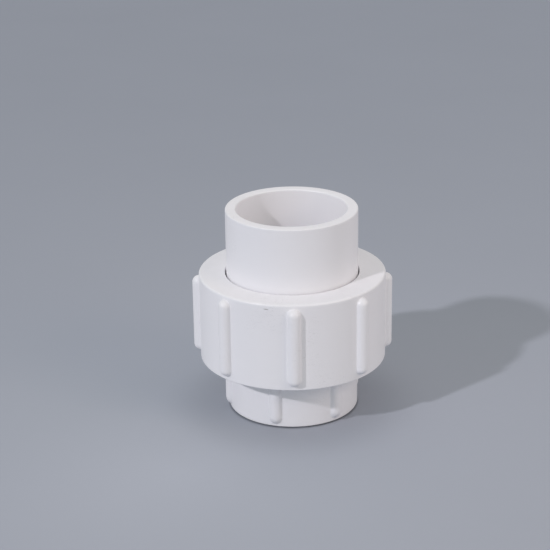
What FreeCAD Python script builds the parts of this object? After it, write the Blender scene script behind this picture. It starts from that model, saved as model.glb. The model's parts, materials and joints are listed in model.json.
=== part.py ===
"""Solvent-weld pipe union: a threaded body, a tail piece, the nut that joins them and the seal between.

Millimetres. The origin is the centre of the bottom rim and +Z runs up the pipe axis. -Y is the front.
Angles are measured about +Z from +X.
"""

import FreeCAD, Part
import math
import os

from FreeCAD import Vector

# Pipe sockets, one in each half
socket_radius = 25.1
socket_depth = 31.0
pipe_stop_width = 3.1
mouth_inner_round = 0.7
mouth_outer_round = 0.6

# Threaded body
body_wall = 4.7
collar_bottom = 26.0
collar_underside_chamfer = 1.0
thread_lead_in = 1.0

# Tail piece
tail_wall = 4.9
tail_length = 42.1
flange_thickness = 6.0
face_gap = 0.4

# Thread, shared by the body and the nut
pitch = 5.0
thread_height = 2.2
flank_angle = 15.0
thread_clearance = 0.3
male_turns = 4.0
female_turns = 4.5
thread_bottom_gap = 2.5
thread_top_gap = 1.25

# Union nut
nut_wall = 6.1
nut_top_thickness = 6.0
nut_skirt = 1.65
nut_hole_clearance = 0.6
shoulder_grip = 3.1
flange_pass_clearance = 0.6
nut_top_round = 1.0
nut_bottom_round = 0.4
nut_lead_in = 1.2

# Grip ribs
nut_rib_count = 8
nut_rib_radius = 3.05
nut_rib_top_gap = 2.0
nut_rib_bottom_gap = 2.15
nut_front_rib_angle = -89.3
body_rib_radius = 3.2
body_rib_sink = 1.0
body_rib_bottom_gap = 1.2
body_rib_end_length = 4.1
body_rib_angles = (-167.5, -106.1, -49.8, 18.0, 76.2, 134.3)

# Seal
seal_width = 4.4
seal_flat_width = 2.0
groove_depth = 3.0
groove_side_clearance = 0.3

# How far a piece that is joined to another starts inside it
embed = 0.5

# Radii: the flange reaches under the nut's shoulder, and passes the nut's thread when the nut is put on
waterway_radius = socket_radius - pipe_stop_width
body_radius = socket_radius + body_wall
tail_radius = socket_radius + tail_wall
nut_hole_radius = tail_radius + nut_hole_clearance
flange_radius = nut_hole_radius + shoulder_grip
thread_root_radius = flange_radius + flange_pass_clearance - thread_clearance
nut_thread_radius = thread_root_radius + thread_height + thread_clearance
nut_radius = nut_thread_radius + nut_wall
seal_mean_radius = (waterway_radius + flange_radius) / 2

# Either ridge's width at its root, which leaves thread_clearance between every pair of flanks
flank_slope = math.tan(math.radians(flank_angle))
flank_gap = thread_clearance / math.cos(math.radians(flank_angle))
ridge_root_width = pitch / 2 - flank_gap + (thread_height + thread_clearance) * flank_slope

# Heights, from the bottom rim up
nut_bottom = collar_bottom - nut_skirt
male_start = collar_bottom + thread_bottom_gap + ridge_root_width / 2
female_start = male_start - pitch / 2
body_height = male_start + male_turns * pitch + ridge_root_width / 2 + thread_top_gap
tail_bottom = body_height + face_gap
tail_top = tail_bottom + tail_length
flange_top = tail_bottom + flange_thickness
nut_top = flange_top + nut_top_thickness


def turned(points, round_edges):
    """A solid turned about Z from (radius, height) points, with (radius, height, size) edges rounded."""
    outline = Part.makePolygon([Vector(r, 0, z) for r, z in points + points[:1]])
    solid = Part.Face(outline).revolve(Vector(0, 0, 0), Vector(0, 0, 1), 360)
    for radius, height, size in round_edges:
        solid = solid.makeFillet(size, [circle_edge(solid, radius, height)])
    return solid


def circle_edge(solid, radius, height):
    """The solid's circular edge of one radius at one height."""
    for edge in solid.Edges:
        curve = edge.Curve
        if not isinstance(curve, Part.Circle):
            continue
        if math.dist((curve.Radius, curve.Center.z), (radius, height)) < 1e-6:
            return edge
    raise ValueError(f"no circle of radius {radius} at height {height}")


def thread_ridge(root_radius, inward, start_height, turns):
    """One right-hand helical ridge of trapezoid section on a wall at root_radius, facing in or out.

    start_height is the height of the ridge's middle over +X. Its section starts inside the wall by embed.
    """
    side = -1 if inward else 1
    root_half = ridge_root_width / 2
    crest_half = root_half - thread_height * flank_slope
    buried_half = root_half + embed * flank_slope
    buried, crest = root_radius - side * embed, root_radius + side * thread_height
    corners = [(buried, -buried_half), (crest, -crest_half), (crest, crest_half), (buried, buried_half)]
    section = Part.makePolygon([Vector(r, 0, z) for r, z in corners + corners[:1]])
    helix = Part.makeHelix(pitch, pitch * turns, root_radius)
    sweep = Part.BRepOffsetAPI.MakePipeShell(Part.Wire(helix.Edges))
    sweep.setFrenetMode(True)
    sweep.add(section)
    sweep.build()
    sweep.makeSolid()
    ridge = sweep.shape()
    ridge.translate(Vector(0, 0, start_height))
    return ridge


def grip_rib(radius, centre_radius, angle, bottom, top, bottom_end, top_end):
    """An upright rib: a rod between two heights, with rounded ends of the given lengths (0 is flat)."""
    low, high = bottom + bottom_end, top - top_end
    edges = [Part.makeLine(Vector(radius, 0, low), Vector(radius, 0, high))]
    edges += rib_end(radius, high, top)
    edges += [Part.makeLine(Vector(0, 0, top), Vector(0, 0, bottom))]
    edges += rib_end(radius, low, bottom)
    outline = Part.Wire(Part.__sortEdges__(edges))
    rib = Part.Face(outline).revolve(Vector(0, 0, 0), Vector(0, 0, 1), 360)
    rib.translate(Vector(centre_radius, 0, 0))
    rib.rotate(Vector(0, 0, 0), Vector(0, 0, 1), angle)
    return rib


def rib_end(radius, side_height, tip_height):
    """The edge from a rib's side to its tip: a quarter ellipse, or a straight line where the end is flat."""
    side, tip = Vector(radius, 0, side_height), Vector(0, 0, tip_height)
    if side_height == tip_height:
        return [Part.makeLine(side, tip)]
    curve = Part.BezierCurve()
    curve.setPoles([side, Vector(radius, 0, tip_height), tip])
    curve.setWeight(2, math.sqrt(0.5))
    return [curve.toShape()]


def threaded_body():
    """The lower half: pipe socket, ribbed wall, collar, male thread and the seal's groove in the top face."""
    groove_half = seal_width / 2 + groove_side_clearance
    groove_floor = body_height - groove_depth
    body = turned(
        [
            (socket_radius, 0),
            (body_radius, 0),
            (body_radius, collar_bottom - collar_underside_chamfer),
            (thread_root_radius, collar_bottom + collar_underside_chamfer),
            (thread_root_radius, body_height - thread_lead_in),
            (thread_root_radius - thread_lead_in, body_height),
            (seal_mean_radius + groove_half, body_height),
            (seal_mean_radius + groove_half, groove_floor),
            (seal_mean_radius - groove_half, groove_floor),
            (seal_mean_radius - groove_half, body_height),
            (waterway_radius, body_height),
            (waterway_radius, socket_depth),
            (socket_radius, socket_depth),
        ],
        [(socket_radius, 0, mouth_inner_round), (body_radius, 0, mouth_outer_round)],
    )
    for angle in body_rib_angles:
        bottom, top = body_rib_bottom_gap, collar_bottom + embed
        middle = body_radius - body_rib_sink
        rib = grip_rib(body_rib_radius, middle, angle, bottom, top, body_rib_end_length, 0)
        body = body.fuse(rib)
    body = body.fuse(thread_ridge(thread_root_radius, False, male_start, male_turns))
    return body.removeSplitter()


def tail_piece():
    """The upper half: the flange that the nut holds down, a plain wall and the upper pipe socket."""
    socket_bottom = tail_top - socket_depth
    return turned(
        [
            (waterway_radius, tail_bottom),
            (flange_radius, tail_bottom),
            (flange_radius, flange_top),
            (tail_radius, flange_top),
            (tail_radius, tail_top),
            (socket_radius, tail_top),
            (socket_radius, socket_bottom),
            (waterway_radius, socket_bottom),
        ],
        [(socket_radius, tail_top, mouth_inner_round), (tail_radius, tail_top, mouth_outer_round)],
    )


def union_nut():
    """The ribbed nut: a shoulder at its top that bears on the flange, and the female thread below it."""
    nut = turned(
        [
            (nut_thread_radius + nut_lead_in, nut_bottom),
            (nut_radius, nut_bottom),
            (nut_radius, nut_top),
            (nut_hole_radius, nut_top),
            (nut_hole_radius, flange_top),
            (nut_thread_radius, flange_top),
            (nut_thread_radius, nut_bottom + nut_lead_in),
        ],
        [(nut_radius, nut_top, nut_top_round), (nut_radius, nut_bottom, nut_bottom_round)],
    )
    for step in range(nut_rib_count):
        angle = nut_front_rib_angle + step * 360 / nut_rib_count
        bottom, top = nut_bottom + nut_rib_bottom_gap, nut_top - nut_rib_top_gap
        rib = grip_rib(nut_rib_radius, nut_radius, angle, bottom, top, nut_rib_radius, nut_rib_radius)
        nut = nut.fuse(rib)
    nut = nut.fuse(thread_ridge(nut_thread_radius, True, female_start, female_turns))
    return nut.removeSplitter()


def o_ring():
    """The seal as it sits squeezed: flat on the groove floor and under the flange, round at its sides."""
    bottom, top = body_height - groove_depth, tail_bottom
    middle = (bottom + top) / 2
    half_width, half_flat = seal_width / 2, seal_flat_width / 2

    def corner(offset, height):
        return Vector(seal_mean_radius + offset, 0, height)

    outer = Part.Arc(corner(half_flat, bottom), corner(half_width, middle), corner(half_flat, top))
    inner = Part.Arc(corner(-half_flat, top), corner(-half_width, middle), corner(-half_flat, bottom))
    outline = Part.Wire([
        Part.makeLine(corner(-half_flat, bottom), corner(half_flat, bottom)),
        outer.toShape(),
        Part.makeLine(corner(half_flat, top), corner(-half_flat, top)),
        inner.toShape(),
    ])
    return Part.Face(outline).revolve(Vector(0, 0, 0), Vector(0, 0, 1), 360)


os.makedirs("parts", exist_ok=True)
for piece in (threaded_body, union_nut, tail_piece, o_ring):
    piece().exportStep(f"parts/{piece.__name__}.step")
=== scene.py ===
"""The pipe union's looks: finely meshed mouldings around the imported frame, a floor, lights and a camera.

Metres, in the CAD frame: the origin is the centre of the bottom rim and +Z runs up the pipe axis.
Shapes are worked out in millimetres and scaled once, as each mesh is made.
"""

import json
import math

import bpy
import numpy as np
from mathutils import Matrix, Vector


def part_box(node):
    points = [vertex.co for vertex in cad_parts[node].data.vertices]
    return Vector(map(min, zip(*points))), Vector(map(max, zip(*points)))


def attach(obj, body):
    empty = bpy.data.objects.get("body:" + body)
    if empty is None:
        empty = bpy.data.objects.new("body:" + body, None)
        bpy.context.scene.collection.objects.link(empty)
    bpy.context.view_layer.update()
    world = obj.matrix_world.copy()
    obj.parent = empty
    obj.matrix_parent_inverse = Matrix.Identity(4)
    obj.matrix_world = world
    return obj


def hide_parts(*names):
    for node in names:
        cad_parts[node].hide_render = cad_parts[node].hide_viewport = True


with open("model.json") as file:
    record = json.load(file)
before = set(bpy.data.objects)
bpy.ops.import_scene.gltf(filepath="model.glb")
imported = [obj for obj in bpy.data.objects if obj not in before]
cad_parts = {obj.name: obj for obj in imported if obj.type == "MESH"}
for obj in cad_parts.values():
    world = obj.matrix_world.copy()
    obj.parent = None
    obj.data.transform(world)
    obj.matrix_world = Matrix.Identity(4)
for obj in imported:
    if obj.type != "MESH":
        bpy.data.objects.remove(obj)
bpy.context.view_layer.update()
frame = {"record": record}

MM = 0.001

# ------------------------------------------------------------------------------------- sizes, in mm


def node_box(node):
    """Lowest and highest corner of a CAD node, in millimetres."""
    low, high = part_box(node)
    return np.array(low) / MM, np.array(high) / MM


BODY_TOP = node_box("threaded_body")[1][2]
TAIL_BOTTOM, TAIL_TOP = node_box("tail_piece")[0][2], node_box("tail_piece")[1][2]
NUT_BOTTOM, NUT_TOP = node_box("union_nut")[0][2], node_box("union_nut")[1][2]
FLANGE_RADIUS = node_box("tail_piece")[1][0]
SEAL_BOTTOM, SEAL_TOP = node_box("o_ring")[0][2], node_box("o_ring")[1][2]

# Corner roundings: crisp where pieces meet, a little softer on free edges and in inside corners
CRISP_ROUND, EDGE_ROUND, INSIDE_ROUND = 0.3, 0.4, 0.5
MOUTH_ROUND, RIM_ROUND, COLLAR_ROUND, GROOVE_ROUND = 0.7, 0.6, 0.6, 0.25
NUT_TOP_ROUND, NUT_BOTTOM_ROUND, SHOULDER_ROUND = 1.0, 0.4, 0.6

TOP_SOCKET = next(m for m in frame["record"]["mounts"] if m["name"] == "top_socket")
SOCKET_RADIUS = TOP_SOCKET["dims"]["r_mm"]
SOCKET_DEPTH = TOP_SOCKET["dims"]["length_mm"] + MOUTH_ROUND
WATERWAY_RADIUS = 22.0

BODY_RADIUS = 29.8
COLLAR_LOW, COLLAR_HIGH, BELOW_COLLAR = 25.0, 27.0, 0.4
THREAD_ROOT_RADIUS = 34.0
LEAD_IN = 1.0
SEAL_MEAN_RADIUS = (WATERWAY_RADIUS + FLANGE_RADIUS) / 2
SEAL_HALF_WIDTH = 2.2
SEAL_HALF_FLAT = 1.0
GROOVE_HALF_WIDTH = 2.5

TAIL_RADIUS = 30.0
FLANGE_THICKNESS = 6.0
FLANGE_TOP = TAIL_BOTTOM + FLANGE_THICKNESS

NUT_RADIUS = 42.6
NUT_HOLE_RADIUS = 30.6
NUT_THREAD_RADIUS = 36.5
NUT_LEAD_IN = 1.2

PITCH = 5.0
THREAD_HEIGHT = 2.2
THREAD_CLEARANCE = 0.3
FLANK_ANGLE = math.radians(15.0)
FLANK_SLOPE = math.tan(FLANK_ANGLE)
FLANK_GAP = THREAD_CLEARANCE / math.cos(FLANK_ANGLE)
RIDGE_ROOT_WIDTH = PITCH / 2 - FLANK_GAP + (THREAD_HEIGHT + THREAD_CLEARANCE) * FLANK_SLOPE
MALE_FOOT = 28.5
MALE_START, MALE_TURNS = MALE_FOOT + RIDGE_ROOT_WIDTH / 2, 4.0
FEMALE_START, FEMALE_TURNS = MALE_START - PITCH / 2, 4.5

# Upright ribs: their angles and radius, how far their centres are sunk into the wall, the radius of the
# hollow foot on each side, the heights between which they are straight, and their rounded ends' length
NUT_RIB_COUNT, NUT_FRONT_RIB_ANGLE, NUT_RIB_RADIUS = 8, -89.3, 3.05
NUT_RIB_BOTTOM_GAP, NUT_RIB_TOP_GAP = 2.15, 2.0
NUT_RIBS = {
    "angles": np.radians(NUT_FRONT_RIB_ANGLE + 360.0 / NUT_RIB_COUNT * np.arange(NUT_RIB_COUNT)),
    "radius": NUT_RIB_RADIUS,
    "sink": 0.0,
    "foot": 0.5,
    "low": NUT_BOTTOM + NUT_RIB_BOTTOM_GAP + NUT_RIB_RADIUS,
    "high": NUT_TOP - NUT_RIB_TOP_GAP - NUT_RIB_RADIUS,
    "end_length": NUT_RIB_RADIUS,
}
# The body's ribs run up into the collar, so they have no upper end: it is set past the top of the wall
BODY_RIB_BOTTOM_GAP, BODY_RIB_END_LENGTH, PAST_THE_WALL = 1.2, 4.1, 100.0
BODY_RIBS = {
    "angles": np.radians([-167.5, -106.1, -49.8, 18.0, 76.2, 134.3]),
    "radius": 3.2,
    "sink": 1.0,
    "foot": 0.8,
    "low": BODY_RIB_BOTTOM_GAP + BODY_RIB_END_LENGTH,
    "high": PAST_THE_WALL,
    "end_length": BODY_RIB_END_LENGTH,
}

# ---------------------------------------------------------------------------------- surfaces, in mm


def rounded_loop(corners, longest=4.0, turn=0.22, lead=0.35):
    """Points round a closed outline whose corners are (radius, height, rounding).

    Each corner becomes an arc tangent to its two sides, centred on their bisector at
    rounding / sin(half angle). Long sides get a point close to each end, which keeps a flat face flat
    beside its rounding, and even steps between.
    """
    places = np.array([c[:2] for c in corners], float)
    arcs = []
    for i, (radius, height, rounding) in enumerate(corners):
        here = places[i]
        back, on = places[i - 1] - here, places[(i + 1) % len(corners)] - here
        back, on = back / np.linalg.norm(back), on / np.linalg.norm(on)
        half = math.acos(np.clip(back @ on, -1, 1)) / 2
        if rounding == 0:
            arcs.append(here[None])
            continue
        centre = here + (back + on) / np.linalg.norm(back + on) * rounding / math.sin(half)
        start, end = (here + way * rounding / math.tan(half) - centre for way in (back, on))
        swing = math.pi - 2 * half
        side = np.sign(start[0] * end[1] - start[1] * end[0])
        angles = side * np.linspace(0, swing, max(3, math.ceil(swing / turn) + 1))
        cos, sin = np.cos(angles), np.sin(angles)
        outward, upward = cos * start[0] - sin * start[1], sin * start[0] + cos * start[1]
        arcs.append(centre + np.stack([outward, upward], 1))
    pieces = []
    for i, arc in enumerate(arcs):
        first, last = arc[-1], arcs[(i + 1) % len(arcs)][0]
        length = np.linalg.norm(last - first)
        inner = length - 2 * lead
        shares = []
        if inner > 0:
            shares = lead + inner * np.linspace(0, 1, math.ceil(inner / longest) + 1)
        pieces += [arc, first + (last - first) * (np.array(shares) / max(length, 1e-9))[:, None]]
    return np.concatenate([p for p in pieces if len(p)])


def grid_faces(across, along, close_across=True):
    """Quads of an across by along grid of vertices: every column is a closed loop, and the rows may be."""
    i = np.arange(across if close_across else across - 1)[:, None]
    j = np.arange(along)[None, :]
    right, up = (i + 1) % across, (j + 1) % along
    corners = [i * along + j, right * along + j, right * along + up, i * along + up]
    return np.stack(corners, -1).reshape(-1, 4)


def turned(outline, angles):
    """A closed outline carried round the axis: column i stands at angles[i], and row j is its point j."""
    radius, height = outline[None, :, 0], outline[None, :, 1]
    cos, sin = np.cos(angles)[:, None], np.sin(angles)[:, None]
    points = np.stack(np.broadcast_arrays(radius * cos, radius * sin, height), -1)
    return points.reshape(-1, 3), grid_faces(len(angles), len(outline))


def rib_levels(ribs, round_steps=9, foot_steps=4):
    """Distances from a rib's crest line and its height above the wall at each, from crest to foot.

    The section is an arc of the rib's radius, its centre sunk below the wall, and a hollow foot arc that
    meets the arc and the wall without a corner: the foot's centre stands at
    sqrt((r + foot)^2 - (foot + sink)^2) from the crest line.
    """
    radius, foot, sink = ribs["radius"], ribs["foot"], ribs["sink"]
    reach = math.sqrt((radius + foot) ** 2 - (foot + sink) ** 2)
    meet = math.atan2(reach, foot + sink)
    on_circle = np.linspace(0, meet, round_steps)
    on_foot = np.linspace(meet, 0, foot_steps + 1)[1:]
    out = np.concatenate([radius * np.sin(on_circle), reach - foot * np.sin(on_foot)])
    high = np.concatenate([radius * np.cos(on_circle) - sink, foot - foot * np.cos(on_foot)])
    return out, high


def ribbed_columns(ribs, wall_radius, gap_step=math.radians(3.2)):
    """Column angles round a ribbed wall, and each column's distance from its rib's crest line (far = none).

    Columns are packed across every rib at the levels of its section and spread evenly between ribs.
    """
    out, _ = rib_levels(ribs)
    across = np.concatenate([-out[::-1], out[1:]])
    angles, offsets, centres = [], [], []
    order = np.sort(np.mod(ribs["angles"], 2 * math.pi))
    for centre, following in zip(order, np.append(order[1:], order[0] + 2 * math.pi)):
        edge, next_edge = centre + out[-1] / wall_radius, following - out[-1] / wall_radius
        between = np.linspace(edge, next_edge, math.ceil((next_edge - edge) / gap_step) + 1)[1:-1]
        angles += [centre + across / wall_radius, between]
        offsets += [across, np.full(len(between), np.inf)]
        centres += [np.full(len(across) + len(between), centre)]
    return np.concatenate(angles), np.concatenate(offsets), np.concatenate(centres)


def rib_rows(ribs, bottom, top, step=3.5, margin=0.05):
    """Wall heights from bottom to top: the section's levels past each rib end, and even steps between.

    The steps start 3 mm up the straight part, and stop 1 mm short of its top. Heights within the margin of
    the wall's ends are left out.
    """
    out, _ = rib_levels(ribs)
    stretch = ribs["end_length"] / ribs["radius"]
    rows = [ribs["low"] - out * stretch, ribs["high"] + out * stretch]
    rows += [np.arange(ribs["low"] + 3, min(ribs["high"], top) - 1, step)]
    rows = np.unique(np.round(np.concatenate(rows), 4))
    return rows[(rows > bottom + margin) & (rows < top - margin)]


def raise_ribs(points, offsets, centres, wall_radius, ribs, on_wall):
    """Lifts the ribs out of the wall's grid points, given as columns by rows.

    Past a rib's end the points are drawn in so that squares about the end's centre become circles, which
    keeps the rows round the rounded end. Height then depends only on the distance from the crest line or
    end centre.
    """
    out, high = rib_levels(ribs)
    reach, stretch = out[-1], ribs["end_length"] / ribs["radius"]
    height = points[..., 2]
    aside = np.broadcast_to(offsets[:, None], height.shape)
    past = np.maximum(height - ribs["high"], ribs["low"] - height).clip(0) / stretch
    near = on_wall[None, :] & (np.abs(aside) <= reach + 1e-6) & (past <= reach + 1e-6)
    aside = np.where(near, aside, 0.0)
    distance = np.maximum(np.abs(aside), past)
    shrink = np.where(near & (past > 0), distance / np.hypot(aside, past).clip(1e-9), 1.0)
    middle = np.clip(height, ribs["low"], ribs["high"])
    from_axis = np.hypot(points[..., 0], points[..., 1])
    lifted = np.maximum(from_axis, wall_radius + np.interp(distance, out, high))
    angle = centres[:, None] + aside * shrink / wall_radius
    drawn_in = middle + (height - middle) * shrink
    moved = np.stack([lifted * np.cos(angle), lifted * np.sin(angle), drawn_in], -1)
    return np.where(near[..., None], moved, points)


def ribbed_turning(outline, wall_radius, ribs, wall_low, wall_high):
    """A turned shape whose plain wall, between two heights, carries upright rounded ribs."""
    angles, offsets, centres = ribbed_columns(ribs, wall_radius)
    points, faces = turned(outline, angles)
    grid = points.reshape(len(angles), len(outline), 3)
    radius, height = outline[:, 0], outline[:, 1]
    on_wall = (radius > wall_radius - 1e-3) & (height > wall_low) & (height < wall_high)
    return raise_ribs(grid, offsets, centres, wall_radius, ribs, on_wall).reshape(-1, 3), faces


def with_wall_rows(outline, wall_radius, rows, low, high):
    """The outline with its straight wall, between two heights, given these rows in place of its own."""
    radius, height = outline[:, 0], outline[:, 1]
    on_side = (np.abs(radius - wall_radius) < 1e-6) & (height > low + 1e-6) & (height < high - 1e-6)
    first = np.flatnonzero(on_side)[0]
    kept = outline[~on_side]
    return np.insert(kept, first, np.stack([np.full(len(rows), wall_radius), rows], 1), axis=0)


def thread_ridge(root_radius, inward, start, turns, per_turn=96, run_out=math.radians(14)):
    """One right-hand helical ridge as a closed shell: a rounded trapezoid carried along a helix.

    At turn angle a the section stands on the wall at height start + pitch * a / (2 pi). Its height over
    the wall is scaled by the smooth step of the angle to the nearer end over the run-out, so both ends fade
    out: there it sinks just under the wall and keeps only a share of its width. Its foot is buried in the
    wall, where it flares a little.
    """
    side = -1 if inward else 1
    half = RIDGE_ROOT_WIDTH / 2
    crest = half - THREAD_HEIGHT * FLANK_SLOPE
    buried, flare, crest_round = 0.3, 0.1, 0.35
    end_depth, end_width = 0.02, 0.35
    section = rounded_loop([
        (-buried, -half - flare, 0),
        (0.0, -half, 0),
        (THREAD_HEIGHT, -crest, crest_round),
        (THREAD_HEIGHT, crest, crest_round),
        (0.0, half, 0),
        (-buried, half + flare, 0),
    ], longest=3.0, lead=0.2)
    angles = np.linspace(0, turns * 2 * math.pi, int(turns * per_turn) + 1)
    ends = np.minimum(angles, angles[-1] - angles) / run_out
    ease = np.clip(ends, 0, 1)
    ease = (ease * ease * (3 - 2 * ease))[:, None]
    rise, along = section[None, :, 0], section[None, :, 1]
    radius = root_radius + side * np.where(rise > 0, rise * ease - end_depth * (1 - ease), rise)
    width = end_width + (1 - end_width) * ease
    height = start + PITCH * angles[:, None] / (2 * math.pi) + along * width
    points = np.stack([radius * np.cos(angles)[:, None], radius * np.sin(angles)[:, None], height], -1)
    count = len(section)
    faces = grid_faces(len(angles), count, close_across=False)
    if inward:
        faces = faces[:, ::-1]
    caps = [list(range(count))[::side], [len(angles) * count - 1 - k for k in range(count)][::side]]
    return points.reshape(-1, 3), faces, caps


# ----------------------------------------------------------------------------------------- outlines


def tail_outline():
    """The tail piece's outline: flange, plain wall, rounded rim, pipe socket, shoulder and waterway."""
    socket_floor = TAIL_TOP - SOCKET_DEPTH
    return rounded_loop([
        (WATERWAY_RADIUS, TAIL_BOTTOM, CRISP_ROUND),
        (FLANGE_RADIUS, TAIL_BOTTOM, EDGE_ROUND),
        (FLANGE_RADIUS, FLANGE_TOP, EDGE_ROUND),
        (TAIL_RADIUS, FLANGE_TOP, EDGE_ROUND),
        (TAIL_RADIUS, TAIL_TOP, RIM_ROUND),
        (SOCKET_RADIUS, TAIL_TOP, MOUTH_ROUND),
        (SOCKET_RADIUS, socket_floor, INSIDE_ROUND),
        (WATERWAY_RADIUS, socket_floor, INSIDE_ROUND),
    ])


def nut_outline():
    """The nut's outline: lead-in, ribbed wall, flat top, hole, shoulder underside and thread wall."""
    outline = rounded_loop([
        (NUT_THREAD_RADIUS + NUT_LEAD_IN, NUT_BOTTOM, CRISP_ROUND),
        (NUT_RADIUS, NUT_BOTTOM, NUT_BOTTOM_ROUND),
        (NUT_RADIUS, NUT_TOP, NUT_TOP_ROUND),
        (NUT_HOLE_RADIUS, NUT_TOP, EDGE_ROUND),
        (NUT_HOLE_RADIUS, FLANGE_TOP, CRISP_ROUND),
        (NUT_THREAD_RADIUS, FLANGE_TOP, SHOULDER_ROUND),
        (NUT_THREAD_RADIUS, NUT_BOTTOM + NUT_LEAD_IN, CRISP_ROUND),
    ])
    low, high = NUT_BOTTOM + NUT_BOTTOM_ROUND, NUT_TOP - NUT_TOP_ROUND
    return with_wall_rows(outline, NUT_RADIUS, rib_rows(NUT_RIBS, low, high), low, high)


def body_outline():
    """The body's outline: rim, ribbed wall, collar, thread wall, lead-in, seal groove and pipe socket."""
    groove_out, groove_in = SEAL_MEAN_RADIUS + GROOVE_HALF_WIDTH, SEAL_MEAN_RADIUS - GROOVE_HALF_WIDTH
    outline = rounded_loop([
        (SOCKET_RADIUS, 0.0, MOUTH_ROUND),
        (BODY_RADIUS, 0.0, RIM_ROUND),
        (BODY_RADIUS, COLLAR_LOW, COLLAR_ROUND),
        (THREAD_ROOT_RADIUS, COLLAR_HIGH, EDGE_ROUND),
        (THREAD_ROOT_RADIUS, BODY_TOP - LEAD_IN, CRISP_ROUND),
        (THREAD_ROOT_RADIUS - LEAD_IN, BODY_TOP, CRISP_ROUND),
        (groove_out, BODY_TOP, GROOVE_ROUND),
        (groove_out, SEAL_BOTTOM, CRISP_ROUND),
        (groove_in, SEAL_BOTTOM, CRISP_ROUND),
        (groove_in, BODY_TOP, GROOVE_ROUND),
        (WATERWAY_RADIUS, BODY_TOP, EDGE_ROUND),
        (WATERWAY_RADIUS, SOCKET_DEPTH, INSIDE_ROUND),
        (SOCKET_RADIUS, SOCKET_DEPTH, INSIDE_ROUND),
    ], longest=3.0)
    low, high = RIM_ROUND, COLLAR_LOW - BELOW_COLLAR
    return with_wall_rows(outline, BODY_RADIUS, rib_rows(BODY_RIBS, low, high), low, high)


def seal_outline():
    """The squeezed seal's outline: flat top and bottom, with circular arcs as the sides between them."""
    middle, half = (SEAL_BOTTOM + SEAL_TOP) / 2, (SEAL_TOP - SEAL_BOTTOM) / 2
    bulge = SEAL_HALF_WIDTH - SEAL_HALF_FLAT
    arc_radius = (half * half + bulge * bulge) / (2 * bulge)
    reach = math.asin(half / arc_radius)
    swing = np.linspace(-reach, reach, 17)
    aside = SEAL_HALF_FLAT + bulge - arc_radius + arc_radius * np.cos(swing)
    up = arc_radius * np.sin(swing)
    outer = np.stack([SEAL_MEAN_RADIUS + aside, middle + up], 1)
    inner = np.stack([SEAL_MEAN_RADIUS - aside, middle - up], 1)
    return np.concatenate([outer, inner])


# ------------------------------------------------------------------------------------------- pieces


def edge_share(points, outline, rounding_reach=0.8, least_turn=0.1):
    """For each point, 1 on a convex corner of the outline, falling to 0 at rounding_reach from it.

    A corner is where the sine of the outline's turn is over least_turn.
    """
    ahead = np.roll(outline, -1, 0) - outline
    behind = outline - np.roll(outline, 1, 0)
    turn = behind[:, 0] * ahead[:, 1] - behind[:, 1] * ahead[:, 0]
    turn = turn / (np.linalg.norm(ahead, axis=1) * np.linalg.norm(behind, axis=1)).clip(1e-9)
    convex = outline[turn > least_turn]
    gap = np.linalg.norm(outline[:, None] - convex[None], axis=2).min(1)
    share = np.clip(1 - gap / rounding_reach, 0, 1)
    return np.tile(share, len(points) // len(outline))


def make_piece(name, shells, body, node, material, edges, crease=math.radians(38)):
    """One mesh from (points, faces, caps) shells in millimetres, riding on a body in place of a node.

    Edges over the crease angle stay sharp.
    """
    points, faces, caps, base = [], [], [], 0
    for shell_points, shell_faces, *shell_caps in shells:
        points.append(shell_points)
        faces.append(shell_faces + base)
        caps += [[k + base for k in cap] for cap in (shell_caps[0] if shell_caps else [])]
        base += len(shell_points)
    points, faces = np.concatenate(points) * MM, np.concatenate(faces)
    mesh = bpy.data.meshes.new(name)
    mesh.from_pydata(points.tolist(), [], faces.tolist() + caps)
    mesh.validate()
    mesh.shade_smooth()
    mesh.set_sharp_from_angle(angle=crease)
    rub = mesh.attributes.new("edge_rub", "FLOAT", "POINT")
    rub.data.foreach_set("value", np.concatenate([edges, np.zeros(len(points) - len(edges))]))
    mesh.materials.append(material)
    piece = bpy.data.objects.new(name, mesh)
    bpy.context.collection.objects.link(piece)
    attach(piece, body)
    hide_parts(node)


TAIL_COLUMNS, SEAL_COLUMNS = 180, 144


def even_angles(count):
    """Angles of evenly spaced columns round the axis."""
    return np.linspace(0, 2 * math.pi, count, endpoint=False)


# ----------------------------------------------------------------------------------- shader effects


def place(tree, kind, **settings):
    """A node of one kind: each setting names a socket, or else a property, and is a link or a value."""
    node = tree.nodes.new(kind)
    for name, value in settings.items():
        plain = name.replace("_", " ")
        socket = next((s for s in node.inputs if s.name.lower() == plain.lower() and s.enabled), None)
        if socket is None:
            setattr(node, name, value)
        elif isinstance(value, bpy.types.NodeSocket):
            tree.links.new(value, socket)
        else:
            socket.default_value = value
    return node


def sums(tree, operation, first, second=0.0, clamp=False):
    """The result of one arithmetic node; either term is a socket or a number."""
    node = tree.nodes.new("ShaderNodeMath")
    node.operation, node.use_clamp = operation, clamp
    for socket, value in zip(node.inputs, (first, second)):
        if isinstance(value, bpy.types.NodeSocket):
            tree.links.new(value, socket)
        else:
            socket.default_value = value
    return node.outputs[0]


def band(tree, value, low, high, to_low=0.0, to_high=1.0):
    """A smooth step of value between low and high, mapped to the range to_low .. to_high."""
    node = tree.nodes.new("ShaderNodeMapRange")
    node.interpolation_type = "SMOOTHSTEP"
    tree.links.new(value, node.inputs["Value"])
    for name, number in (("From Min", low), ("From Max", high), ("To Min", to_low), ("To Max", to_high)):
        if isinstance(number, bpy.types.NodeSocket):
            tree.links.new(number, node.inputs[name])
        else:
            node.inputs[name].default_value = number
    return node.outputs["Result"]


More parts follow.
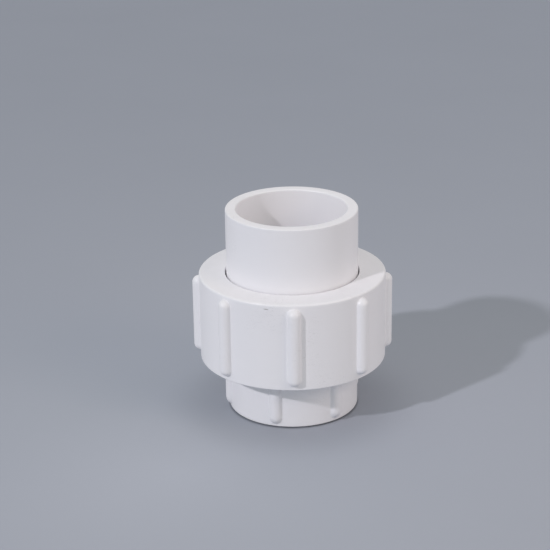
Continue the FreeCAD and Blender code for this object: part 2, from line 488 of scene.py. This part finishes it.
def blend(tree, share, first, second):
    """The mix of two colours by a share."""
    node = tree.nodes.new("ShaderNodeMix")
    node.data_type = "RGBA"
    factor, colour_a, colour_b = node.inputs["Factor"], node.inputs[6], node.inputs[7]
    for socket, value in ((factor, share), (colour_a, first), (colour_b, second)):
        if isinstance(value, bpy.types.NodeSocket):
            tree.links.new(value, socket)
        else:
            socket.default_value = value
    return node.outputs[2]


def effect(name, inputs, outputs):
    """An empty node group with named inputs {name: (type, default)} and outputs {name: type}."""
    group = bpy.data.node_groups.new(name, "ShaderNodeTree")
    for label, (kind, default) in inputs.items():
        socket = group.interface.new_socket(name=label, in_out="INPUT", socket_type=kind)
        if default is not None:
            socket.default_value = default
    for label, kind in outputs.items():
        group.interface.new_socket(name=label, in_out="OUTPUT", socket_type=kind)
    return group, group.nodes.new("NodeGroupInput").outputs, group.nodes.new("NodeGroupOutput").inputs


def use(tree, group, **values):
    """A placed effect's outputs; inputs are named with underscores and are sockets or numbers."""
    node = tree.nodes.new("ShaderNodeGroup")
    node.node_tree = group
    for name, value in values.items():
        socket = node.inputs[name.replace("_", " ")]
        if isinstance(value, bpy.types.NodeSocket):
            tree.links.new(value, socket)
        else:
            socket.default_value = value
    return node.outputs


FLOAT, VECTOR = "NodeSocketFloat", "NodeSocketVector"


def moulded_skin():
    """Height of a moulded surface: slow waves where it shrank, a finer ripple and the mould's grain."""
    group, given, out = effect(
        "moulded skin",
        {"Place": (VECTOR, None), "Waves": (FLOAT, 1.0), "Ripple": (FLOAT, 1.0), "Grain": (FLOAT, 1.0)},
        {"Height": FLOAT})
    total = 0.0
    layers = ((38.0, 1.0, 1.0, "Waves"), (210.0, 2.0, 0.12, "Ripple"), (2600.0, 2.0, 0.02, "Grain"))
    for scale, detail, size, weight in layers:
        noise = place(group, "ShaderNodeTexNoise", vector=given["Place"], scale=scale, detail=detail)
        layer = sums(group, "MULTIPLY", sums(group, "SUBTRACT", noise.outputs[0], 0.5), size)
        total = sums(group, "ADD", total, sums(group, "MULTIPLY", layer, given[weight]))
    group.links.new(total, out["Height"])
    return group


def handling_marks():
    """Mask of fine scuffs: thin bands of stretched noise lying two ways, kept only in scattered patches."""
    group, given, out = effect(
        "handling marks",
        {"Place": (VECTOR, None), "Coverage": (FLOAT, 0.4), "Fineness": (FLOAT, 1.0)},
        {"Mask": FLOAT})
    patches = place(group, "ShaderNodeTexNoise", vector=given["Place"], scale=34.0, detail=2.0).outputs[0]
    level = sums(group, "ADD", patches, sums(group, "MULTIPLY", given["Coverage"], 0.3))
    kept = band(group, level, 0.62, 0.74)
    lines = 0.0
    for turn, stretch in (((0.4, 0.9, 0.2), (30.0, 900.0, 900.0)), ((1.1, 0.3, 2.0), (900.0, 40.0, 900.0))):
        lay = place(group, "ShaderNodeMapping", vector=given["Place"], rotation=turn, scale=stretch)
        streak = place(group, "ShaderNodeTexNoise", vector=lay.outputs[0], scale=1.0, detail=1.0).outputs[0]
        thin = sums(group, "ABSOLUTE", sums(group, "SUBTRACT", streak, 0.5))
        width = sums(group, "MULTIPLY", given["Fineness"], 0.012)
        lines = sums(group, "MAXIMUM", lines, band(group, thin, 0.0, width, 1.0, 0.0))
    group.links.new(sums(group, "MULTIPLY", lines, kept), out["Mask"])
    return group


def dark_specks():
    """Mask of small dark specks: the middles of a few cells, each picked by the cell's own number."""
    group, given, out = effect(
        "dark specks",
        {"Place": (VECTOR, None), "Spacing": (FLOAT, 0.006), "Size": (FLOAT, 0.06), "Share": (FLOAT, 0.2)},
        {"Mask": FLOAT})
    density = sums(group, "DIVIDE", 1.0, given["Spacing"])
    cells = place(group, "ShaderNodeTexVoronoi", vector=given["Place"], scale=density)
    core = sums(group, "MULTIPLY", given["Size"], 0.4)
    dot = band(group, cells.outputs["Distance"], core, given["Size"], 1.0, 0.0)
    number = place(group, "ShaderNodeSeparateColor", color=cells.outputs["Color"]).outputs[0]
    picked = sums(group, "LESS_THAN", number, given["Share"])
    group.links.new(sums(group, "MULTIPLY", dot, picked), out["Mask"])
    return group


def settled_dust():
    """Mask of dust: most on faces that look up, broken into drifts by noise."""
    group, given, out = effect(
        "settled dust",
        {"Place": (VECTOR, None), "Normal": (VECTOR, None), "Amount": (FLOAT, 0.5)},
        {"Mask": FLOAT})
    up = place(group, "ShaderNodeSeparateXYZ", vector=given["Normal"]).outputs[2]
    level = band(group, up, 0.1, 0.95)
    at = given["Place"]
    drift = place(group, "ShaderNodeTexNoise", vector=at, scale=120.0, detail=5.0, roughness=0.65)
    lying = sums(group, "MULTIPLY", level, band(group, drift.outputs[0], 0.35, 0.75))
    group.links.new(sums(group, "MULTIPLY", lying, given["Amount"]), out["Mask"])
    return group


def colour_drift():
    """A share that wanders about a half: the uneven tint of a plastic melt, with faint flow bands."""
    group, given, out = effect(
        "colour drift",
        {"Place": (VECTOR, None), "Contrast": (FLOAT, 0.5)},
        {"Share": FLOAT})
    slow = place(group, "ShaderNodeTexNoise", vector=given["Place"], scale=22.0, detail=3.0).outputs[0]
    flow = place(group, "ShaderNodeMapping", vector=given["Place"], scale=(60.0, 60.0, 400.0)).outputs[0]
    bands = place(group, "ShaderNodeTexNoise", vector=flow, scale=1.0, detail=3.0, distortion=0.6)
    flow_part = sums(group, "MULTIPLY", bands.outputs[0], 0.35)
    both = sums(group, "ADD", sums(group, "MULTIPLY", slow, 0.65), flow_part)
    wander = sums(group, "MULTIPLY", sums(group, "SUBTRACT", both, 0.5), given["Contrast"])
    group.links.new(sums(group, "ADD", wander, 0.5, clamp=True), out["Share"])
    return group


def trim_nick():
    """Mask of one small nick: 1 in the middle of an ellipsoid about a spot, fading at a ragged edge."""
    group, given, out = effect(
        "trim nick",
        {"Place": (VECTOR, None), "Spot": (VECTOR, None), "Half Size": (VECTOR, (0.001, 0.001, 0.0003))},
        {"Mask": FLOAT})
    away = place(group, "ShaderNodeVectorMath", operation="SUBTRACT")
    group.links.new(given["Place"], away.inputs[0])
    group.links.new(given["Spot"], away.inputs[1])
    share = place(group, "ShaderNodeVectorMath", operation="DIVIDE")
    group.links.new(away.outputs["Vector"], share.inputs[0])
    group.links.new(given["Half Size"], share.inputs[1])
    distance = place(group, "ShaderNodeVectorMath", operation="LENGTH")
    group.links.new(share.outputs["Vector"], distance.inputs[0])
    ragged = place(group, "ShaderNodeTexNoise", vector=given["Place"], scale=2400.0, detail=2.0).outputs[0]
    reach = sums(group, "ADD", distance.outputs["Value"], sums(group, "MULTIPLY", ragged, 0.6))
    group.links.new(band(group, reach, 0.7, 1.3, 1.0, 0.0), out["Mask"])
    return group


SKIN, MARKS, SPECKS = moulded_skin(), handling_marks(), dark_specks()
DUST, DRIFT, NICK = settled_dust(), colour_drift(), trim_nick()

# ---------------------------------------------------------------------------------------- materials


RUBBED_WHITE, SCUFF_GREY, DUST_GREY = (0.95, 0.95, 0.96, 1), (0.46, 0.46, 0.47, 1), (0.60, 0.59, 0.56, 1)
SPECK_BROWN, NICK_BROWN = (0.30, 0.28, 0.26, 1), (0.28, 0.26, 0.25, 1)
RUBBER_DARK, RUBBER_LIGHT = (0.018, 0.018, 0.019, 1), (0.034, 0.034, 0.036, 1)
RUBBER_BLOOM = (0.16, 0.16, 0.155, 1)


def new_material(name):
    """An empty node material, its Principled shader already joined to the output."""
    material = bpy.data.materials.new(name)
    material.use_nodes = True
    tree = material.node_tree
    tree.nodes.clear()
    shader = tree.nodes.new("ShaderNodeBsdfPrincipled")
    output = tree.nodes.new("ShaderNodeOutputMaterial")
    tree.links.new(shader.outputs[0], output.inputs["Surface"])
    return material, tree, shader


def white_plastic(name, light, dark, marks, dust, nicks=()):
    """Satin white pipe plastic: drifting tint, mould grain, scuffs, specks, dust and rubbed corners.

    Each nick is the spot of its middle and its half size, in metres.
    """
    material, tree, shader = new_material(name)
    at = tree.nodes.new("ShaderNodeTexCoord").outputs["Object"]
    facing = tree.nodes.new("ShaderNodeNewGeometry").outputs["Normal"]
    drift = use(tree, DRIFT, Place=at, Contrast=0.9)["Share"]
    scuffs = use(tree, MARKS, Place=at, Coverage=marks, Fineness=1.0)["Mask"]
    specks = use(tree, SPECKS, Place=at, Spacing=0.009, Size=0.035, Share=0.05)["Mask"]
    film = use(tree, DUST, Place=at, Normal=facing, Amount=dust)["Mask"]
    rub = place(tree, "ShaderNodeAttribute", attribute_name="edge_rub").outputs["Fac"]
    breaks = place(tree, "ShaderNodeTexNoise", vector=at, scale=300.0, detail=3.0).outputs[0]
    worn = sums(tree, "MULTIPLY", rub, band(tree, breaks, 0.4, 0.7))
    colour = blend(tree, drift, dark, light)
    for share, weight, tint in ((worn, 0.25, RUBBED_WHITE), (scuffs, 0.22, SCUFF_GREY),
                                (specks, 0.3, SPECK_BROWN), (film, 0.18, DUST_GREY)):
        colour = blend(tree, sums(tree, "MULTIPLY", share, weight), colour, tint)
    for spot, half_size in nicks:
        nick = use(tree, NICK, Place=at, Spot=spot, Half_Size=half_size)["Mask"]
        colour = blend(tree, sums(tree, "MULTIPLY", nick, 0.7), colour, NICK_BROWN)
        scuffs = sums(tree, "MAXIMUM", scuffs, nick)
    tree.links.new(colour, shader.inputs["Base Color"])
    dulled = sums(tree, "MULTIPLY", sums(tree, "MAXIMUM", scuffs, film), 0.16)
    roughness = sums(tree, "ADD", band(tree, drift, 0.3, 0.7, 0.41, 0.48), dulled)
    roughness = sums(tree, "SUBTRACT", roughness, sums(tree, "MULTIPLY", worn, 0.05))
    tree.links.new(roughness, shader.inputs["Roughness"])
    height = use(tree, SKIN, Place=at, Waves=1.0, Ripple=1.0, Grain=1.0)["Height"]
    height = sums(tree, "SUBTRACT", height, sums(tree, "MULTIPLY", scuffs, 0.05))
    bump = place(tree, "ShaderNodeBump", height=height, strength=0.35, distance=0.0002)
    tree.links.new(bump.outputs[0], shader.inputs["Normal"])
    shader.inputs["IOR"].default_value = 1.53
    return material


def seal_rubber():
    """Black moulded rubber: matt, faintly mottled, with a thin grey bloom and a fine grain."""
    material, tree, shader = new_material("seal rubber")
    at = tree.nodes.new("ShaderNodeTexCoord").outputs["Object"]
    facing = tree.nodes.new("ShaderNodeNewGeometry").outputs["Normal"]
    drift = use(tree, DRIFT, Place=at, Contrast=1.0)["Share"]
    film = use(tree, DUST, Place=at, Normal=facing, Amount=0.5)["Mask"]
    colour = blend(tree, drift, RUBBER_DARK, RUBBER_LIGHT)
    colour = blend(tree, sums(tree, "MULTIPLY", film, 0.25), colour, RUBBER_BLOOM)
    tree.links.new(colour, shader.inputs["Base Color"])
    tree.links.new(band(tree, drift, 0.3, 0.7, 0.55, 0.68), shader.inputs["Roughness"])
    height = use(tree, SKIN, Place=at, Waves=0.3, Ripple=1.6, Grain=3.0)["Height"]
    bump = place(tree, "ShaderNodeBump", height=height, strength=0.5, distance=0.0002)
    tree.links.new(bump.outputs[0], shader.inputs["Normal"])
    return material


def distance_from(tree, at, spot):
    """How far a place is from a fixed spot."""
    apart = place(tree, "ShaderNodeVectorMath", operation="DISTANCE")
    tree.links.new(at, apart.inputs[0])
    apart.inputs[1].default_value = spot
    return apart.outputs["Value"]


FLOOR_DARK, FLOOR_LIGHT, FLOOR_PAINTED_SHADE = (0.324, 0.346, 0.395, 1), (0.458, 0.487, 0.550, 1), (0.0, 0.0, 0.0, 1)
# Painted pool of light: the sheet is palest at one spot, and that falls off as exp(-FLOOR_FALL * distance
# in metres)
PALEST_SPOT, FLOOR_FALL = (-0.05, -0.07, 0.0), 4.2
# Painted shade round the object, and a painted contact shadow as the dark line where the rim meets the
# floor:
# the radii between which each fades out, and its greatest share
PAINTED_SHADE_FADE, PAINTED_SHADE_SHARE = (0.028, 0.065), 0.16
PAINTED_CONTACT_SHADOW_FADE, PAINTED_CONTACT_SHADOW_SHARE = (0.0298, 0.0312), 0.38


def floor_paper():
    """The floor's matt blue-grey sheet: cloudy, with a painted pool of light, and painted shade round the
    object that is darkest at its rim.
    """
    material, tree, shader = new_material("floor paper")
    at = tree.nodes.new("ShaderNodeTexCoord").outputs["Object"]
    cloud = place(tree, "ShaderNodeTexNoise", vector=at, scale=9.0, detail=4.0).outputs[0]
    fibre = place(tree, "ShaderNodeTexNoise", vector=at, scale=900.0, detail=2.0).outputs[0]
    # Painted pool of light: the sheet's tone falls away from its palest spot
    fall = sums(tree, "EXPONENT", sums(tree, "MULTIPLY", distance_from(tree, at, PALEST_SPOT), -FLOOR_FALL))
    uneven = sums(tree, "ADD", sums(tree, "MULTIPLY", cloud, 0.12), sums(tree, "MULTIPLY", fibre, 0.06))
    share = sums(tree, "ADD", fall, sums(tree, "SUBTRACT", uneven, 0.09), clamp=True)
    sheet = blend(tree, share, FLOOR_DARK, FLOOR_LIGHT)
    # Painted shade: a dark ring round the object, and a darker painted contact shadow where the rim meets
    # the floor
    apart = distance_from(tree, at, (0.0, 0.0, 0.0))
    painted_shade = band(tree, apart, *PAINTED_SHADE_FADE, PAINTED_SHADE_SHARE, 0.0)
    painted_shade = sums(tree, "MAXIMUM", painted_shade, band(tree, apart, *PAINTED_CONTACT_SHADOW_FADE, PAINTED_CONTACT_SHADOW_SHARE, 0.0))
    tree.links.new(blend(tree, painted_shade, sheet, FLOOR_PAINTED_SHADE), shader.inputs["Base Color"])
    shader.inputs["Roughness"].default_value = 0.9
    return material


NUT_NICKS = [
    ((-0.0116, -0.0410, 0.0627), (0.0017, 0.0008, 0.0003)),
    ((-0.0300, -0.0302, 0.0576), (0.0005, 0.0005, 0.0008)),
]
BODY_PLASTIC = white_plastic(
    "body plastic", (0.915, 0.905, 0.925, 1), (0.885, 0.875, 0.900, 1), marks=0.2, dust=0.35)
NUT_PLASTIC = white_plastic(
    "nut plastic", (0.920, 0.910, 0.930, 1), (0.890, 0.880, 0.905, 1), marks=0.3, dust=0.4, nicks=NUT_NICKS)
TAIL_PLASTIC = white_plastic(
    "tail plastic", (0.915, 0.905, 0.925, 1), (0.885, 0.875, 0.905, 1), marks=0.15, dust=0.3)
SEAL_RUBBER = seal_rubber()

# --------------------------------------------------------------------------------- pieces, in place


def make_threaded_body():
    """The lower half: a ribbed turning with its male thread."""
    outline = body_outline()
    points, faces = ribbed_turning(outline, BODY_RADIUS, BODY_RIBS, RIM_ROUND, COLLAR_HIGH)
    ridge = thread_ridge(THREAD_ROOT_RADIUS, False, MALE_START, MALE_TURNS)
    make_piece("threaded_body_moulding", [(points, faces), ridge], "threaded_body",
               "threaded_body", BODY_PLASTIC, edge_share(points, outline))


def make_union_nut():
    """The nut: a ribbed turning with its female thread."""
    outline = nut_outline()
    low, high = NUT_BOTTOM + NUT_BOTTOM_ROUND, NUT_TOP - NUT_TOP_ROUND
    points, faces = ribbed_turning(outline, NUT_RADIUS, NUT_RIBS, low, high)
    ridge = thread_ridge(NUT_THREAD_RADIUS, True, FEMALE_START, FEMALE_TURNS)
    make_piece("union_nut_moulding", [(points, faces), ridge], "union_nut", "union_nut",
               NUT_PLASTIC, edge_share(points, outline))


def make_tail_piece():
    """The upper half: a plain turning."""
    outline = tail_outline()
    points, faces = turned(outline, even_angles(TAIL_COLUMNS))
    make_piece("tail_piece_moulding", [(points, faces)], "tail_piece", "tail_piece",
               TAIL_PLASTIC, edge_share(points, outline))


def make_seal():
    """The rubber seal in its groove."""
    outline = seal_outline()
    points, faces = turned(outline, even_angles(SEAL_COLUMNS))
    make_piece("seal_ring", [(points, faces)], "threaded_body", "o_ring",
               SEAL_RUBBER, edge_share(points, outline))


make_threaded_body()
make_union_nut()
make_tail_piece()
make_seal()

# -------------------------------------------------------------------------- floor, light and camera

FLOOR_REACH = 4.0
FLOOR_DROP = 0.0005
# Far lights: where each shines from, as degrees from the front towards the right and degrees up, then its
# softness in degrees, its strength and its colour
FAR_LIGHTS = [
    ("key_light", -48.4, 33.5, 2.5, 1.243, (0.979, 0.944, 1.0)),
    ("right_fill", 90.0, 25.0, 60.0, 0.293, (1.0, 0.806, 0.905)),
    ("back_fill", 180.0, 40.0, 60.0, 0.176, (1.0, 0.788, 0.804)),
    ("back_left_fill", -135.0, 30.0, 60.0, 0.093, (1.0, 0.776, 0.455)),
]
PANEL_PLACE, PANEL_AIM, PANEL_SIZE = Vector((0.75, -0.55, 0.6)), Vector((0, 0, 0.03)), 0.5
PANEL_POWER, PANEL_COLOUR = 2.011, (1.0, 0.819, 0.660)
SKY_STRENGTH, SKY_COLOUR = 0.479, (0.904, 0.977, 1.0, 1)

CAMERA_PLACE = Vector((0.0, -0.7308, 0.3497))
CAMERA_PITCH, CAMERA_YAW, CAMERA_ROLL = math.radians(21.45), math.radians(-0.616), math.radians(-0.827)
CAMERA_NEAR, CAMERA_FAR = 0.01, 20
CAMERA_LENS, CAMERA_SENSOR = 112.7, 36.0


def make_floor():
    """A broad flat floor sheet, just below the rim."""
    mesh = bpy.data.meshes.new("floor_sheet")
    signs = [(-1, -1), (1, -1), (1, 1), (-1, 1)]
    corners = [(x * FLOOR_REACH, y * FLOOR_REACH, -FLOOR_DROP) for x, y in signs]
    mesh.from_pydata(corners, [], [(0, 1, 2, 3)])
    mesh.materials.append(floor_paper())
    floor = bpy.data.objects.new("floor_sheet", mesh)
    bpy.context.collection.objects.link(floor)


def add_light(name, kind, travel, strength, colour, stand=(0, 0, 1), **settings):
    """A light that shines along travel from where it stands; settings are its own properties."""
    data = bpy.data.lights.new(name, kind)
    data.energy, data.color = strength, colour
    for key, value in settings.items():
        setattr(data, key, value)
    light = bpy.data.objects.new(name, data)
    light.rotation_euler = Vector(travel).to_track_quat("-Z", "Y").to_euler()
    light.location = stand
    bpy.context.collection.objects.link(light)


def light_the_scene():
    """A crisp key from the left front, soft fills from the right and behind, a panel and an even sky."""
    for name, bearing, height, softness, strength, colour in FAR_LIGHTS:
        bearing, height = math.radians(bearing), math.radians(height)
        level = math.cos(height)
        source = Vector((level * math.sin(bearing), -level * math.cos(bearing), math.sin(height)))
        add_light(name, "SUN", -source, strength, colour, angle=math.radians(softness))
    add_light("front_right_panel", "AREA", PANEL_AIM - PANEL_PLACE, PANEL_POWER, PANEL_COLOUR,
              stand=PANEL_PLACE, size=PANEL_SIZE)
    world = bpy.data.worlds.new("even_sky")
    bpy.context.scene.world = world
    world.use_nodes = True
    sky = world.node_tree.nodes["Background"]
    sky.inputs["Color"].default_value = SKY_COLOUR
    sky.inputs["Strength"].default_value = SKY_STRENGTH


def add_camera():
    """The camera: it looks along its pitch and yaw, then turns about its line of sight by its roll."""
    reach = math.cos(CAMERA_PITCH)
    ahead = Vector((math.sin(CAMERA_YAW) * reach, math.cos(CAMERA_YAW) * reach, -math.sin(CAMERA_PITCH)))
    level = Vector((math.cos(CAMERA_YAW), -math.sin(CAMERA_YAW), 0))
    upright = level.cross(ahead)
    right = math.cos(CAMERA_ROLL) * level + math.sin(CAMERA_ROLL) * upright
    up = -math.sin(CAMERA_ROLL) * level + math.cos(CAMERA_ROLL) * upright
    data = bpy.data.cameras.new("view_camera")
    data.lens, data.sensor_width = CAMERA_LENS, CAMERA_SENSOR
    data.clip_start, data.clip_end = CAMERA_NEAR, CAMERA_FAR
    camera = bpy.data.objects.new("view_camera", data)
    turn = Matrix((right, up, -ahead)).transposed()
    camera.matrix_world = Matrix.Translation(CAMERA_PLACE) @ turn.to_4x4()
    bpy.context.collection.objects.link(camera)
    bpy.context.scene.camera = camera


make_floor()
light_the_scene()
add_camera()
bpy.context.scene.view_settings.view_transform = "Standard"
